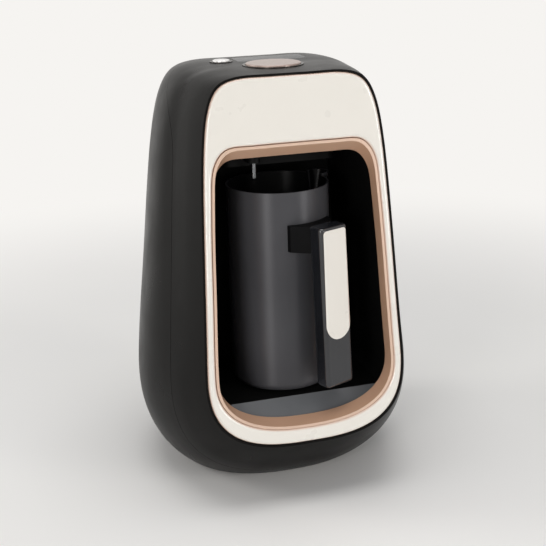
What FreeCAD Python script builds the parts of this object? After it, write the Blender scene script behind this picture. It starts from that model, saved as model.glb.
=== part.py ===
import FreeCAD, Part
import math
import os

# Electric Turkish coffee maker: an egg shaped housing with a lit front frame round a deep cavity,
# and a lidless metal pot with its own heater that stands on contacts on the cavity floor.
# Millimetres. X runs across, Y runs back from the foot of the front face, Z runs up from the table.

Vector = FreeCAD.Vector
UP = Vector(0, 0, 1)

# Housing
BODY_HEIGHT = 259.4
BODY_HALF_WIDTH = 85.3
BODY_DEPTH = 184.0
BELLY_HEIGHT = 79.5
BELLY_DEPTH = 84.7
BODY_SINK = 17.4
BODY_FLARE = 0.139
BODY_TOP_ROUND = 7.7
BODY_BOTTOM_ROUND = 2.23
SIDE_SWELL = 1.42
KEEL_SWELL = 1.41
WALL = 2.4
REAR_SIDE_ROUND = 2.15
REAR_TOP_ROUND = 3.6
REAR_BOTTOM_ROUND = 3.2
SEAM_OFFSET = 36.0
SEAM_GAP = 0.35
SEAM_TURN_HEIGHT = 205.0
SEAM_TURN_RADIUS = 48.0
SEAM_TURN_END = math.radians(120)

# Front face, which leans back about the height where it meets Y = 0
LEAN = math.radians(5.8)
LEAN_HEIGHT = 20.0

# Front frame
FRAME_HALF_WIDTH = 60.0
FRAME_TOP = 257.2
FRAME_BOTTOM = 40.9
FRAME_MIDDLE = 95.0
FRAME_FLARE = 0.082
FRAME_TOP_ROUND = 7.8
FRAME_BOTTOM_ROUND = 2.85
FRAME_THICKNESS = 5.0
FRAME_EDGE = 2.2
FRAME_LIP = 1.35
FRAME_FLANGE = 2.7
FIT = 0.15

# Opening inside the bezel
OPENING_HALF_WIDTH = 53.0
OPENING_TOP = 211.3
OPENING_BOTTOM = 54.3
OPENING_MIDDLE = 88.6
OPENING_FLARE = 0.081
OPENING_TOP_ROUND = 11.0
OPENING_BOTTOM_ROUND = 2.45
BEZEL_START = 1.0
BEZEL_DEPTH = 9.45
BEZEL_WALL = 1.6
BEVEL_TOP = 6.4
BEVEL_SIDE = 0.6
BEVEL_BOTTOM = 2.6

# Cavity
LINER_WALL = 2.0
CAVITY_BACK = 104.0
FLOOR_TOP = 62.6
PLATFORM_THICKNESS = 3.2
SILL_EDGE = 24.0
SILL_RISE = 9.2
SILL_WALL = 2.6
SILL_HALF_WIDTH = 51.0

# Pot
POT_RADIUS = 31.4
POT_CENTRE = 59.4
POT_TOP = 188.7
POT_WALL = 1.2
POT_GAP = 0.35
POT_FOOT_ROUND = 5.0
POT_FLOOR = 77.0
SPOUT_HEIGHT = 28.0
SPOUT_RISE = 1.2
SPOUT_REACH = 1.2
SPOUT_RADIUS = 7.5
HANDLE_TURN = 23.0
GRIP_TOP = 170.2
GRIP_BOTTOM = 72.0
GRIP_REACH_TOP = 51.3
GRIP_REACH_BOTTOM = 56.0
GRIP_WIDTH_TOP = 21.0
GRIP_WIDTH_BOTTOM = 21.2
GRIP_DEPTH_TOP = 11.4
GRIP_DEPTH_BOTTOM = 11.4
INLAY_WIDTH_TOP = 17.2
INLAY_WIDTH_BOTTOM = 18.8
INLAY_BOTTOM = 101.7
INLAY_DEPTH = 1.6
INLAY_GAP = 0.1
BRACKET_TOP = 169.2
BRACKET_HEIGHT = 16.0
BRACKET_ROOT_WIDTH = 31.0
BRACKET_TIP_WIDTH = 15.0
GRIP_CORNER = 2.7
GRIP_END_ROUND = 2.4
GRIP_TOP_ROUND = 1.6
INLAY_TOP_MARGIN = 1.7
INLAY_CORNER = 2.0
HANDLE_SCREW_HEIGHTS = (157.5, 164.5)

# Heater parts in the foot of the pot
HEATER_RADIUS = 24.0
HEATER_THICKNESS = 3.0
ELEMENT_RADIUS = 18.0
ELEMENT_THICKNESS = 5.6
SOCKET_RADIUS = 11.0
FOOT_COVER_THICKNESS = 2.4
FOOT_COVER_RADIUS = 26.0
FOOT_SCREW_CIRCLE = 22.6
THERMOSTAT_RADIUS = 6.0
THERMOSTAT_HEIGHT = 2.5

# Contacts in the cavity floor
DOCK_RADIUS = 15.0
DOCK_HEIGHT = 18.0
DOCK_FLANGE = 2.4
CONTACT_RADII = (0.0, 8.0)
CONTACT_PIN_RADIUS = 1.2
CONTACT_RISE = 0.2
CONTACT_SINK = 0.3

# Buttons on the top
MAIN_BUTTON_CENTRE = (0.0, 60.0)
MAIN_BUTTON_RADIUS = 16.4
SMALL_BUTTON_CENTRE = (-25.0, 86.5)
SMALL_BUTTON_RADIUS = 5.2
BUTTON_GAP = 0.3
BUTTON_RISE = 1.3
BUTTON_SKIN = 2.4
BUTTON_TRAVEL = 1.2
RING_WALL = 1.5
RING_RISE = 0.4
RING_DEPTH = 8.0
STEM_RADIUS = 2.2
BUTTON_FLANGE = 1.0
SPRING_WIRE = 0.35
SPRING_TURNS = 3.5
SPRING_SIDES = 8
CARRIER_TOP = 246.0
CARRIER_THICKNESS = 2.0
BOARD_DROP = 6.0
BOARD_THICKNESS = 1.6
SWITCH_HEIGHT = 3.4
CARRIER_SPAN = (-37.0, 27.0, 39.5, 100.0)
BOARD_POSTS = ((-30.0, 44.0), (22.5, 44.0), (-33.0, 96.0), (20.0, 96.0))
ROOF_BOSSES = ((-23.0, 46.5), (22.5, 78.0), (-8.0, 96.0))

# Glossy strip behind the main button
STRIP_FRONT = 81.0
STRIP_BACK = 104.0
STRIP_CENTRE = 6.5
STRIP_HALF_WIDTH = 22.0
STRIP_THICKNESS = 1.2
STRIP_GAP = 0.2
STRIP_CORNER = 5.0

# Sensor over the pot
HEAD_HALF_WIDTH = 36.0
HEAD_FRONT = 52.0
HEAD_BACK = 90.0
HEAD_DROP = 9.5
PROBE_PLACE = (-18.0, 46.0)
PROBE_RADIUS = 1.5
PROBE_TIP = 194.5
SEAL_WALL = 1.2
NOSE_RADIUS = 4.0

# Underside
FOOT_HEIGHT = 2.0
FOOT_RADIUS = 6.0
FOOT_PLACES = ((-28.0, 66.0), (28.0, 66.0), (-28.0, 142.0), (28.0, 142.0))
BASE_THICKNESS = 3.0
BASE_GAP = 0.3
BOSS_PLACES = ((-31.0, 82.0), (31.0, 82.0), (-31.0, 126.0), (31.0, 126.0))
BOSS_RADIUS = 4.0
BOSS_HEIGHT = 16.0
RIB_THICKNESS = 2.0
SCREW_RADIUS = 1.5
SCREW_HEAD_RADIUS = 2.8
SCREW_HEAD_HEIGHT = 1.8
SCREW_LENGTH = 12.0
SMALL_SCREW_RADIUS = 1.0
SMALL_HEAD_RADIUS = 1.9
VENT_COUNT = 6
VENT_PITCH = 7.0
VENT_WIDTH = 3.0
VENT_LENGTH = 30.0

# Power board
POWER_BOARD_SIZE = (46.0, 62.0)
POWER_BOARD_CENTRE = (0.0, 104.0)
POWER_BOARD_LIFT = 8.0

# Cord gland in the back
GLAND_HEIGHT = 62.0
GLAND_BORE = 3.2
GLAND_RADIUS = 5.0
GLAND_FLANGE = 7.5
GLAND_LIP = 1.5
GLAND_LENGTH = 14.0

# Outlines: how many points, and how far these gather towards the corners
OUTLINE_POINTS = 32
CORNER_GATHER = 0.15
FAR = 400.0


def front_plane(height):
    """Y of the leaning front face at a height."""
    return (height - LEAN_HEIGHT) * math.tan(LEAN)


def egg(half_width, flare, top, bottom, middle, top_round, bottom_round, inset=0.0):
    """Points (x, z) of an egg outline: two superellipse halves, narrowing upwards by the flare."""
    half_width -= inset
    top -= inset
    bottom += inset
    points = []
    for i in range(OUTLINE_POINTS):
        even = 2 * math.pi * i / OUTLINE_POINTS
        turn = even + CORNER_GATHER * math.sin(4 * even)
        across, along = math.cos(turn), math.sin(turn)
        n = top_round if along >= 0 else bottom_round
        reach = (abs(across) ** n + abs(along) ** n) ** (-1.0 / n)
        height = (top - middle) if along >= 0 else (middle - bottom)
        z = middle + height * reach * along
        x = half_width * reach * across * (1 - flare * (z - middle) / 100)
        points.append((x, z))
    return points


def ring_wire(points, offset, lean=1.0):
    """Closed smooth wire through outline points, on a plane parallel to the front face or upright."""
    curve = Part.BSplineCurve()
    places = [Vector(x, offset + lean * front_plane(z), z) for x, z in points]
    curve.interpolate(Points=places, PeriodicFlag=True)
    return Part.Wire(curve.toShape())


def loft(wires, ruled=False):
    return Part.makeLoft(wires, True, ruled)


def frame_outline(inset=0.0):
    return egg(FRAME_HALF_WIDTH, FRAME_FLARE, FRAME_TOP, FRAME_BOTTOM, FRAME_MIDDLE,
               FRAME_TOP_ROUND, FRAME_BOTTOM_ROUND, inset)


def opening_outline(inset=0.0):
    return egg(OPENING_HALF_WIDTH, OPENING_FLARE, OPENING_TOP, OPENING_BOTTOM, OPENING_MIDDLE,
               OPENING_TOP_ROUND, OPENING_BOTTOM_ROUND, inset)


def bevel_outline(inset=0.0):
    """Outer edge of the bevel, where it meets the front frame."""
    return egg(OPENING_HALF_WIDTH + BEVEL_SIDE, OPENING_FLARE, OPENING_TOP + BEVEL_TOP,
               OPENING_BOTTOM - BEVEL_BOTTOM, OPENING_MIDDLE, OPENING_TOP_ROUND,
               OPENING_BOTTOM_ROUND, inset)


def liner_outline(inset=0.0):
    """Cavity wall: the opening's outline above, square cornered at the floor."""
    floor = FLOOR_TOP - PLATFORM_THICKNESS - FIT
    return egg(OPENING_HALF_WIDTH, OPENING_FLARE, OPENING_TOP, floor, OPENING_MIDDLE,
               OPENING_TOP_ROUND, OPENING_TOP_ROUND, inset)


def blend(a, b, share):
    return a + (b - a) * share


def body_outline(offset, inset=0.0):
    """Housing outline at an offset behind the front face, between the frame lip and the belly."""
    belly_offset = BELLY_DEPTH - front_plane(BELLY_HEIGHT)
    u = min(1.0, max(0.0, (offset - BEZEL_START) / (belly_offset - BEZEL_START)))
    side = 1 - (1 - u) ** SIDE_SWELL
    crown = 1 - 0.5 * (1 - u) ** 14 - 0.5 * (1 - u) ** 2
    keel = 1 - (1 - u) ** KEEL_SWELL
    return egg(
        blend(FRAME_HALF_WIDTH + FRAME_LIP, BODY_HALF_WIDTH, side),
        blend(FRAME_FLARE, BODY_FLARE, side),
        blend(FRAME_TOP + FRAME_LIP, BODY_HEIGHT, crown),
        blend(FRAME_BOTTOM - FRAME_LIP, FOOT_HEIGHT - BODY_SINK, keel),
        blend(FRAME_MIDDLE, BELLY_HEIGHT, side),
        blend(FRAME_TOP_ROUND, BODY_TOP_ROUND, side),
        blend(FRAME_BOTTOM_ROUND, BODY_BOTTOM_ROUND, side),
        inset)


def rear_outline(share, inset=0.0):
    """Housing outline between the belly and the back, share 0 to 1 of that depth."""
    side = (1 - share ** REAR_SIDE_ROUND) ** (1 / REAR_SIDE_ROUND)
    crown = (1 - share ** REAR_TOP_ROUND) ** (1 / REAR_TOP_ROUND)
    keel = (1 - share ** REAR_BOTTOM_ROUND) ** (1 / REAR_BOTTOM_ROUND)
    sink = FOOT_HEIGHT - BODY_SINK
    return egg(
        BODY_HALF_WIDTH * side + inset * (1 - side), BODY_FLARE,
        BELLY_HEIGHT + (BODY_HEIGHT - BELLY_HEIGHT) * crown + inset * (1 - crown),
        BELLY_HEIGHT - (BELLY_HEIGHT - sink) * keel - inset * (1 - keel),
        BELLY_HEIGHT, BODY_TOP_ROUND, BODY_BOTTOM_ROUND, inset)


def body_solid(inset, start):
    """Closed egg solid that starts at an offset behind the front face."""
    front_offsets = [start] + [o for o in (3.0, 7.7, 20.0, SEAM_OFFSET) if o > start + 1]
    wires = [ring_wire(body_outline(o, inset), o) for o in front_offsets]
    rear_shares = (0.0, 0.3, 0.56, 0.77, 0.91, 0.975, 0.996)
    reach = BODY_DEPTH - inset - BELLY_DEPTH
    for share in rear_shares:
        wires.append(ring_wire(rear_outline(share, inset), BELLY_DEPTH + reach * share, 0.0))
    wires[-1] = ring_wire(rear_outline(rear_shares[-1], inset), BELLY_DEPTH + reach, 0.0)
    return loft(wires)


def front_region(shift=0.0):
    """Everything in front of the seam: upright with the front face, then sweeping back over the top."""
    foot = SEAM_OFFSET + shift
    start = Vector(0, foot + front_plane(SEAM_TURN_HEIGHT), SEAM_TURN_HEIGHT)
    centre = start + Vector(0, math.cos(LEAN), -math.sin(LEAN)) * SEAM_TURN_RADIUS

    def on_turn(angle):
        return centre + Vector(0, math.cos(angle), math.sin(angle)) * SEAM_TURN_RADIUS

    end = on_turn(SEAM_TURN_END)
    middle = on_turn((math.pi - LEAN + SEAM_TURN_END) / 2)
    away = end + Vector(0, math.sin(SEAM_TURN_END), -math.cos(SEAM_TURN_END)) * FAR
    low = Vector(0, foot + front_plane(-FAR), -FAR)
    rest = [away, Vector(0, away.y, FAR * 2), Vector(0, -FAR, FAR * 2), Vector(0, -FAR, -FAR), low, start]
    edges = [Part.Arc(start, middle, end).toShape(), Part.LineSegment(end, away).toShape()]
    edges += [Part.LineSegment(a, b).toShape() for a, b in zip(rest, rest[1:])]
    face = Part.Face(Part.Wire(edges))
    face.translate(Vector(-FAR, 0, 0))
    return face.extrude(Vector(2 * FAR, 0, 0))


def leaning_prism(points, near, far):
    """Prism between two planes parallel to the front face, along Y."""
    face = Part.Face(ring_wire(points, near))
    return face.extrude(Vector(0, far - near, 0))


def box(x0, x1, y0, y1, z0, z1):
    return Part.makeBox(x1 - x0, y1 - y0, z1 - z0, Vector(x0, y0, z0))


def cylinder(x, y, z0, z1, radius):
    return Part.makeCylinder(radius, z1 - z0, Vector(x, y, z0), UP)


def tube(x, y, z0, z1, outer, inner):
    return cylinder(x, y, z0, z1, outer).cut(cylinder(x, y, z0 - 1, z1 + 1, inner))


def rounded_box(x0, x1, y0, y1, z0, z1, radius):
    """Box with its upright edges rounded."""
    solid = box(x0, x1, y0, y1, z0, z1)
    upright = [e for e in solid.Edges if abs(e.tangentAt(e.FirstParameter).z) > 0.9]
    return solid.makeFillet(radius, upright)


def screw(x, y, z, length, downwards):
    """Pan head screw with its head face at z, the shank going down or up."""
    sign = -1 if downwards else 1
    head = Part.makeCylinder(SCREW_HEAD_RADIUS, SCREW_HEAD_HEIGHT, Vector(x, y, z), UP * -sign)
    shank = Part.makeCylinder(SCREW_RADIUS, length, Vector(x, y, z), UP * sign)
    return head.fuse(shank).removeSplitter()


def top_height(solid, x, y):
    """Height of a solid's upper face over a point."""
    hit = solid.common(Part.makeLine(Vector(x, y, BELLY_HEIGHT), Vector(x, y, FAR)))
    return hit.BoundBox.ZMax


def edges_near_offset(shape, offset, slack=0.05):
    """Edges that lie on a plane parallel to the front face."""
    found = []
    for edge in shape.Edges:
        places = edge.discretize(7)
        if all(abs(p.y - front_plane(p.z) - offset) < slack for p in places):
            found.append(edge)
    return found


nodes = {}


def keep(name, shape):
    nodes[name] = shape


class TopPlane:
    """Plane that touches the crown of the housing round a button."""

    def __init__(self, solid, centre, radius):
        self.x, self.y = centre
        self.height = top_height(solid, self.x, self.y)
        ahead = top_height(solid, self.x, self.y - radius)
        behind = top_height(solid, self.x, self.y + radius)
        left = top_height(solid, self.x - radius, self.y)
        right = top_height(solid, self.x + radius, self.y)
        self.slope_x = (right - left) / (2 * radius)
        self.slope_y = (behind - ahead) / (2 * radius)

    def above(self, rise):
        """Everything higher than the plane by a rise."""
        corners = []
        for dx, dy in ((-FAR, -FAR), (FAR, -FAR), (FAR, FAR), (-FAR, FAR)):
            z = self.height + rise + self.slope_x * dx + self.slope_y * dy
            corners.append(Vector(self.x + dx, self.y + dy, z))
        face = Part.Face(Part.makePolygon(corners + [corners[0]]))
        return face.extrude(Vector(0, 0, FAR))


def make_housing():
    outer = body_solid(0.0, BEZEL_START)
    inner = body_solid(WALL, FRAME_THICKNESS + FRAME_FLANGE)
    pocket = leaning_prism(frame_outline(-FIT), -20, FRAME_THICKNESS)
    window = leaning_prism(bevel_outline(-BEZEL_WALL - FIT), 0, 30)
    ground = box(-FAR, FAR, -FAR, FAR, -FAR, FOOT_HEIGHT)
    shell = outer.cut([inner, pocket, window, ground])
    front = shell.common(front_region())
    rear = shell.cut(front_region(SEAM_GAP))
    return outer, inner, front, rear


def make_front_frame():
    plate = leaning_prism(frame_outline(), 0, FRAME_THICKNESS)
    plate = plate.cut(leaning_prism(bevel_outline(-BEZEL_WALL - FIT), -20, FRAME_THICKNESS + 20))
    return plate.makeFillet(FRAME_EDGE, edges_near_offset(plate, 0))


def make_bezel():
    outer = leaning_prism(bevel_outline(-BEZEL_WALL), BEZEL_START, BEZEL_DEPTH)
    inner = loft([ring_wire(bevel_outline(), BEZEL_START), ring_wire(opening_outline(), BEZEL_DEPTH)], True)
    return outer.cut(inner)


def make_liner():
    start = BEZEL_DEPTH + FIT
    outer = leaning_prism(liner_outline(-LINER_WALL), start, start + FAR)
    outer = outer.common(box(-FAR, FAR, -FAR, CAVITY_BACK + LINER_WALL, -FAR, FAR))
    inner = leaning_prism(liner_outline(), start - 1, start + FAR)
    inner = inner.common(box(-FAR, FAR, -FAR, CAVITY_BACK, -FAR, FAR))
    px, py = PROBE_PLACE
    outer = outer.cut(box(-FAR, FAR, -FAR, SILL_EDGE + FIT, -FAR, FLOOR_TOP))
    liner = outer.cut([
        inner,
        cylinder(0, POT_CENTRE, 0, FLOOR_TOP, DOCK_RADIUS + DOCK_FLANGE + FIT),
        cylinder(px, py, OPENING_TOP - 5, OPENING_TOP + 10, PROBE_RADIUS + SEAL_WALL),
    ])
    return liner


def make_platform():
    room = leaning_prism(liner_outline(FIT), BEZEL_DEPTH, FAR)
    low = FLOOR_TOP - PLATFORM_THICKNESS
    plate = room.common(box(-FAR, FAR, SILL_EDGE + FIT, CAVITY_BACK - FIT, low, FLOOR_TOP))
    return plate.cut(cylinder(0, POT_CENTRE, 0, FAR, DOCK_RADIUS + FIT))


def make_sill():
    """Ramp from the foot of the opening up to the cavity floor."""
    low = FLOOR_TOP - SILL_RISE
    rim = BEZEL_DEPTH + FIT
    profile = [
        (rim + front_plane(low), low),
        (SILL_EDGE, FLOOR_TOP),
        (SILL_EDGE, FLOOR_TOP - SILL_WALL),
        (rim + front_plane(low) + SILL_WALL, low - SILL_WALL),
        (rim + front_plane(low - SILL_WALL), low - SILL_WALL),
    ]
    corners = [Vector(-SILL_HALF_WIDTH, y, z) for y, z in profile]
    face = Part.Face(Part.makePolygon(corners + [corners[0]]))
    return face.extrude(Vector(2 * SILL_HALF_WIDTH, 0, 0))


def make_button(solid, centre, radius, name):
    """Ring, cap with its stem and coil spring of one button; gives the hole for the shell."""
    x, y = centre
    plane = TopPlane(solid, centre, radius)
    low = plane.height - RING_DEPTH
    bore = radius + BUTTON_GAP
    ring = tube(x, y, low, plane.height + 5, bore + RING_WALL, bore)
    ring = ring.cut(plane.above(RING_RISE))
    cap_floor = plane.height - BUTTON_SKIN - abs(plane.slope_y) * radius
    cap = cylinder(x, y, cap_floor, plane.height + 5, radius).cut(plane.above(BUTTON_RISE))
    rim = [e for e in cap.Edges if e.BoundBox.ZMax > plane.height + BUTTON_RISE - 0.01]
    cap = cap.makeFillet(0.7, rim)
    skirt_foot = low - BUTTON_GAP - BUTTON_FLANGE
    skirt = tube(x, y, skirt_foot, cap_floor + 0.5, radius, radius - 1.4)
    lip = tube(x, y, skirt_foot, skirt_foot + BUTTON_FLANGE, radius + 1.0, radius - 1.4)
    switch_top = CARRIER_TOP - CARRIER_THICKNESS - BOARD_DROP + SWITCH_HEIGHT
    stem = cylinder(x, y, switch_top + BUTTON_TRAVEL + 0.1, cap_floor + 0.5, STEM_RADIUS)
    cap = cap.fuse([skirt, lip, stem])
    pitch = (cap_floor - CARRIER_TOP - 4 * SPRING_WIRE - 0.1) / SPRING_TURNS
    coil = Part.makeHelix(pitch, pitch * SPRING_TURNS, STEM_RADIUS + 0.9)
    start = coil.Edges[0].valueAt(coil.Edges[0].FirstParameter)
    corners = []
    for i in range(SPRING_SIDES):
        turn = 2 * math.pi * i / SPRING_SIDES
        corners.append(start + Vector(math.cos(turn), 0, math.sin(turn)) * SPRING_WIRE)
    section = Part.makePolygon(corners + [corners[0]])
    spring = Part.Wire(coil.Edges).makePipeShell([section], True, True)
    spring.translate(Vector(x, y, CARRIER_TOP + 2 * SPRING_WIRE))
    keep(name + "_ring", ring)
    keep(name, cap)
    keep(name + "_spring", spring)
    return cylinder(x, y, low, FAR, bore + RING_WALL + FIT)


def make_strip(solid):
    """Glossy strip let into the crown, and the pocket it lies in."""
    def layer(gap, depth):
        left, right = STRIP_CENTRE - STRIP_HALF_WIDTH, STRIP_CENTRE + STRIP_HALF_WIDTH
        prism = rounded_box(left - gap, right + gap, STRIP_FRONT - gap, STRIP_BACK + gap,
                            BODY_HEIGHT - 40, BODY_HEIGHT + 5, STRIP_CORNER + gap)
        top = prism.common(solid)
        lower = top.copy()
        lower.translate(Vector(0, 0, -depth))
        return top.cut(lower)

    strip = layer(0.0, STRIP_THICKNESS)
    strip_pocket = layer(STRIP_GAP, STRIP_THICKNESS + FIT)
    return strip, strip_pocket


def make_carrier(room):
    """Plate under the crown that carries the rings, the springs and the control board."""
    x0, x1, y0, y1 = CARRIER_SPAN
    low = CARRIER_TOP - CARRIER_THICKNESS
    plate = rounded_box(x0, x1, y0, y1, low, CARRIER_TOP, 4)
    cuts = []
    for centre, radius in ((MAIN_BUTTON_CENTRE, MAIN_BUTTON_RADIUS), (SMALL_BUTTON_CENTRE, SMALL_BUTTON_RADIUS)):
        x, y = centre
        ring_foot = nodes["main_button_ring" if radius == MAIN_BUTTON_RADIUS else "small_button_ring"].BoundBox.ZMin
        outer = radius + BUTTON_GAP + RING_WALL + 0.9
        plate = plate.fuse(tube(x, y, low, ring_foot - 0.05, outer, radius + 1.0 + BUTTON_GAP))
        cuts.append(cylinder(x, y, low - 1, CARRIER_TOP + 1, STEM_RADIUS + 0.3))
    for x, y in BOARD_POSTS:
        plate = plate.fuse(cylinder(x, y, low - BOARD_DROP, low, 2.6))
        cuts.append(cylinder(x, y, low - BOARD_DROP - 1, low, SMALL_SCREW_RADIUS))
    for x, y in ROOF_BOSSES:
        cuts.append(cylinder(x, y, low - 1, CARRIER_TOP + 1, SCREW_RADIUS + 0.1))
    return plate.cut(cuts).common(room)


def make_control_board():
    top = CARRIER_TOP - CARRIER_THICKNESS - BOARD_DROP
    low = top - BOARD_THICKNESS
    x0, x1, y0, y1 = CARRIER_SPAN
    board = box(x0 + 2, x1 - 2, y0 + 2, y1 - 2, low, top)
    chip = box(6, 18, 42, 54, top, top + 1.2)
    plug = box(-12, 3, y1 - 10, y1 - 4, low - 6, low)
    board = board.fuse([chip, plug])
    cuts = [cylinder(x, y, low - 1, top + 1, SMALL_SCREW_RADIUS) for x, y in BOARD_POSTS]
    cuts += [cylinder(x, y, low - 1, top + 1, SCREW_HEAD_RADIUS + 0.6) for x, y in ROOF_BOSSES]
    board = board.cut(cuts)
    switches = []
    for x, y in (MAIN_BUTTON_CENTRE, SMALL_BUTTON_CENTRE):
        body = box(x - 3, x + 3, y - 3, y + 3, top, top + SWITCH_HEIGHT - 0.8)
        switches.append(body.fuse(cylinder(x, y, top, top + SWITCH_HEIGHT, 1.7)))
    buzzer = tube(-16, 62, low - 7, low, 6, 1.0)
    return board, Part.makeCompound(switches), buzzer


def make_sensor():
    room = leaning_prism(opening_outline(FIT), BEZEL_DEPTH, FAR)
    px, py = PROBE_PLACE
    low = OPENING_TOP - HEAD_DROP
    head = rounded_box(-HEAD_HALF_WIDTH, HEAD_HALF_WIDTH, HEAD_FRONT, HEAD_BACK, low, FAR, 6)
    nose = cylinder(px, py, low + 3, FAR, NOSE_RADIUS)
    web = box(px - NOSE_RADIUS, px + NOSE_RADIUS, py, HEAD_FRONT + 8, low + 3, FAR)
    head = head.fuse([nose, web]).common(room)
    hole = PROBE_RADIUS + SEAL_WALL
    head = head.cut(cylinder(px, py, low - 5, FAR, hole))
    crown = OPENING_TOP + LINER_WALL
    probe = cylinder(px, py, PROBE_TIP, crown + 8, PROBE_RADIUS)
    probe = probe.makeFillet(1.2, [e for e in probe.Edges if e.BoundBox.ZMax < PROBE_TIP + 0.1])
    seal = tube(px, py, low + 3, crown + 2, hole - 0.02, PROBE_RADIUS)
    seal = seal.fuse(tube(px, py, crown + 0.3, crown + 2, hole + 2, PROBE_RADIUS))
    return head, probe, seal


def make_dock():
    low = FLOOR_TOP - DOCK_HEIGHT
    under = FLOOR_TOP - PLATFORM_THICKNESS
    dock = cylinder(0, POT_CENTRE, low, FLOOR_TOP, DOCK_RADIUS)
    dock = dock.fuse(cylinder(0, POT_CENTRE, under - DOCK_FLANGE, under - 0.05, DOCK_RADIUS + DOCK_FLANGE))
    pins = []
    for radius in CONTACT_RADII:
        for turn in ((0,) if radius == CONTACT_RADII[0] else (0, 180)):
            x = radius * math.cos(math.radians(turn))
            y = POT_CENTRE + radius * math.sin(math.radians(turn))
            pins.append(cylinder(x, y, low - 5, FLOOR_TOP + CONTACT_RISE, CONTACT_PIN_RADIUS))
    dock = dock.cut(pins)
    return dock, Part.makeCompound(pins)


def make_pot():
    """Wall, floor and skirt in one drawn shell, with a pouring lip on the right."""
    foot = FLOOR_TOP + POT_GAP
    round_ = POT_FOOT_ROUND
    side = POT_RADIUS - POT_WALL
    bend = math.sqrt(0.5)

    def corner(radius):
        centre = Vector(POT_RADIUS - round_, 0, foot + round_)
        return centre + Vector(radius * bend, 0, -radius * bend)

    toe = POT_RADIUS - round_
    outline = [
        Part.LineSegment(Vector(0, 0, POT_FLOOR), Vector(side, 0, POT_FLOOR)),
        Part.LineSegment(Vector(side, 0, POT_FLOOR), Vector(side, 0, POT_TOP)),
        Part.LineSegment(Vector(side, 0, POT_TOP), Vector(POT_RADIUS, 0, POT_TOP)),
        Part.LineSegment(Vector(POT_RADIUS, 0, POT_TOP), Vector(POT_RADIUS, 0, foot + round_)),
        Part.Arc(Vector(POT_RADIUS, 0, foot + round_), corner(round_), Vector(toe, 0, foot)),
        Part.LineSegment(Vector(toe, 0, foot), Vector(toe, 0, foot + POT_WALL)),
        Part.Arc(Vector(toe, 0, foot + POT_WALL), corner(round_ - POT_WALL), Vector(side, 0, foot + round_)),
        Part.LineSegment(Vector(side, 0, foot + round_), Vector(side, 0, POT_FLOOR - POT_WALL)),
        Part.LineSegment(Vector(side, 0, POT_FLOOR - POT_WALL), Vector(0, 0, POT_FLOOR - POT_WALL)),
        Part.LineSegment(Vector(0, 0, POT_FLOOR - POT_WALL), Vector(0, 0, POT_FLOOR)),
    ]
    face = Part.Face(Part.Wire([piece.toShape() for piece in outline]))
    pot = face.revolve(Vector(0, 0, 0), UP, 360)

    def spout(inset):
        """Oblique cone that swells out of the wall up to the lip."""
        foot_circle = Part.makeCircle(1.6 - inset, Vector(side - 2, 0, POT_TOP - SPOUT_HEIGHT), UP)
        lip_circle = Part.makeCircle(SPOUT_RADIUS - inset, Vector(POT_RADIUS + SPOUT_REACH, 0, POT_TOP + SPOUT_RISE), UP)
        return loft([Part.Wire(foot_circle), Part.Wire(lip_circle)], True)

    bore = cylinder(0, 0, POT_FLOOR, FAR, side)
    pot = pot.fuse(spout(0.0).cut(bore)).cut(spout(POT_WALL))
    pot.rotate(Vector(0, 0, 0), UP, HANDLE_TURN)
    pot.translate(Vector(0, POT_CENTRE, 0))
    return pot


def at_handle(shape):
    """Turn a shape made in front of the axis round to the handle's side and move it to the pot."""
    turned = shape.copy()
    turned.rotate(Vector(0, 0, 0), UP, HANDLE_TURN)
    turned.translate(Vector(0, POT_CENTRE, 0))
    return turned


def grip_section(z, width, depth, reach):
    """Rounded rectangle of the grip at a height, its front at a reach from the pot's axis."""
    half = width / 2
    corner = GRIP_CORNER
    bend = corner * (1 - math.sqrt(0.5))
    front, back = -reach, -reach + depth
    places = [
        (half - corner, front), (half - bend, front + bend), (half, front + corner),
        (half, back - corner), (half - bend, back - bend), (half - corner, back),
        (-half + corner, back), (-half + bend, back - bend), (-half, back - corner),
        (-half, front + corner), (-half + bend, front + bend), (-half + corner, front),
    ]
    points = [Vector(x, y, z) for x, y in places]
    edges = []
    for i in range(0, len(points), 3):
        first, middle, last = points[i:i + 3]
        edges.append(Part.Arc(first, middle, last).toShape())
        edges.append(Part.LineSegment(last, points[(i + 3) % len(points)]).toShape())
    return Part.Wire(edges)


def inlay_prism(gap):
    """Prism of the inlay's outline: straight sides that widen down to a round end."""
    top = GRIP_TOP - INLAY_TOP_MARGIN + gap
    half_top = INLAY_WIDTH_TOP / 2 + gap
    half_low = INLAY_WIDTH_BOTTOM / 2 + gap
    turn_height = INLAY_BOTTOM + INLAY_WIDTH_BOTTOM / 2
    corner = INLAY_CORNER
    bend = corner * (1 - math.sqrt(0.5))
    a = Vector(-half_top + corner, 0, top)
    b = Vector(half_top - corner, 0, top)
    c = Vector(half_top, 0, top - corner)
    d = Vector(half_low, 0, turn_height)
    e = Vector(-half_low, 0, turn_height)
    f = Vector(-half_top, 0, top - corner)
    pieces = [
        Part.LineSegment(a, b),
        Part.Arc(b, Vector(half_top - bend, 0, top - bend), c),
        Part.LineSegment(c, d),
        Part.Arc(d, Vector(0, 0, turn_height - half_low), e),
        Part.LineSegment(e, f),
        Part.Arc(f, Vector(-half_top + bend, 0, top - bend), a),
    ]
    face = Part.Face(Part.Wire([piece.toShape() for piece in pieces]))
    return face.extrude(Vector(0, -FAR, 0))


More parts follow.
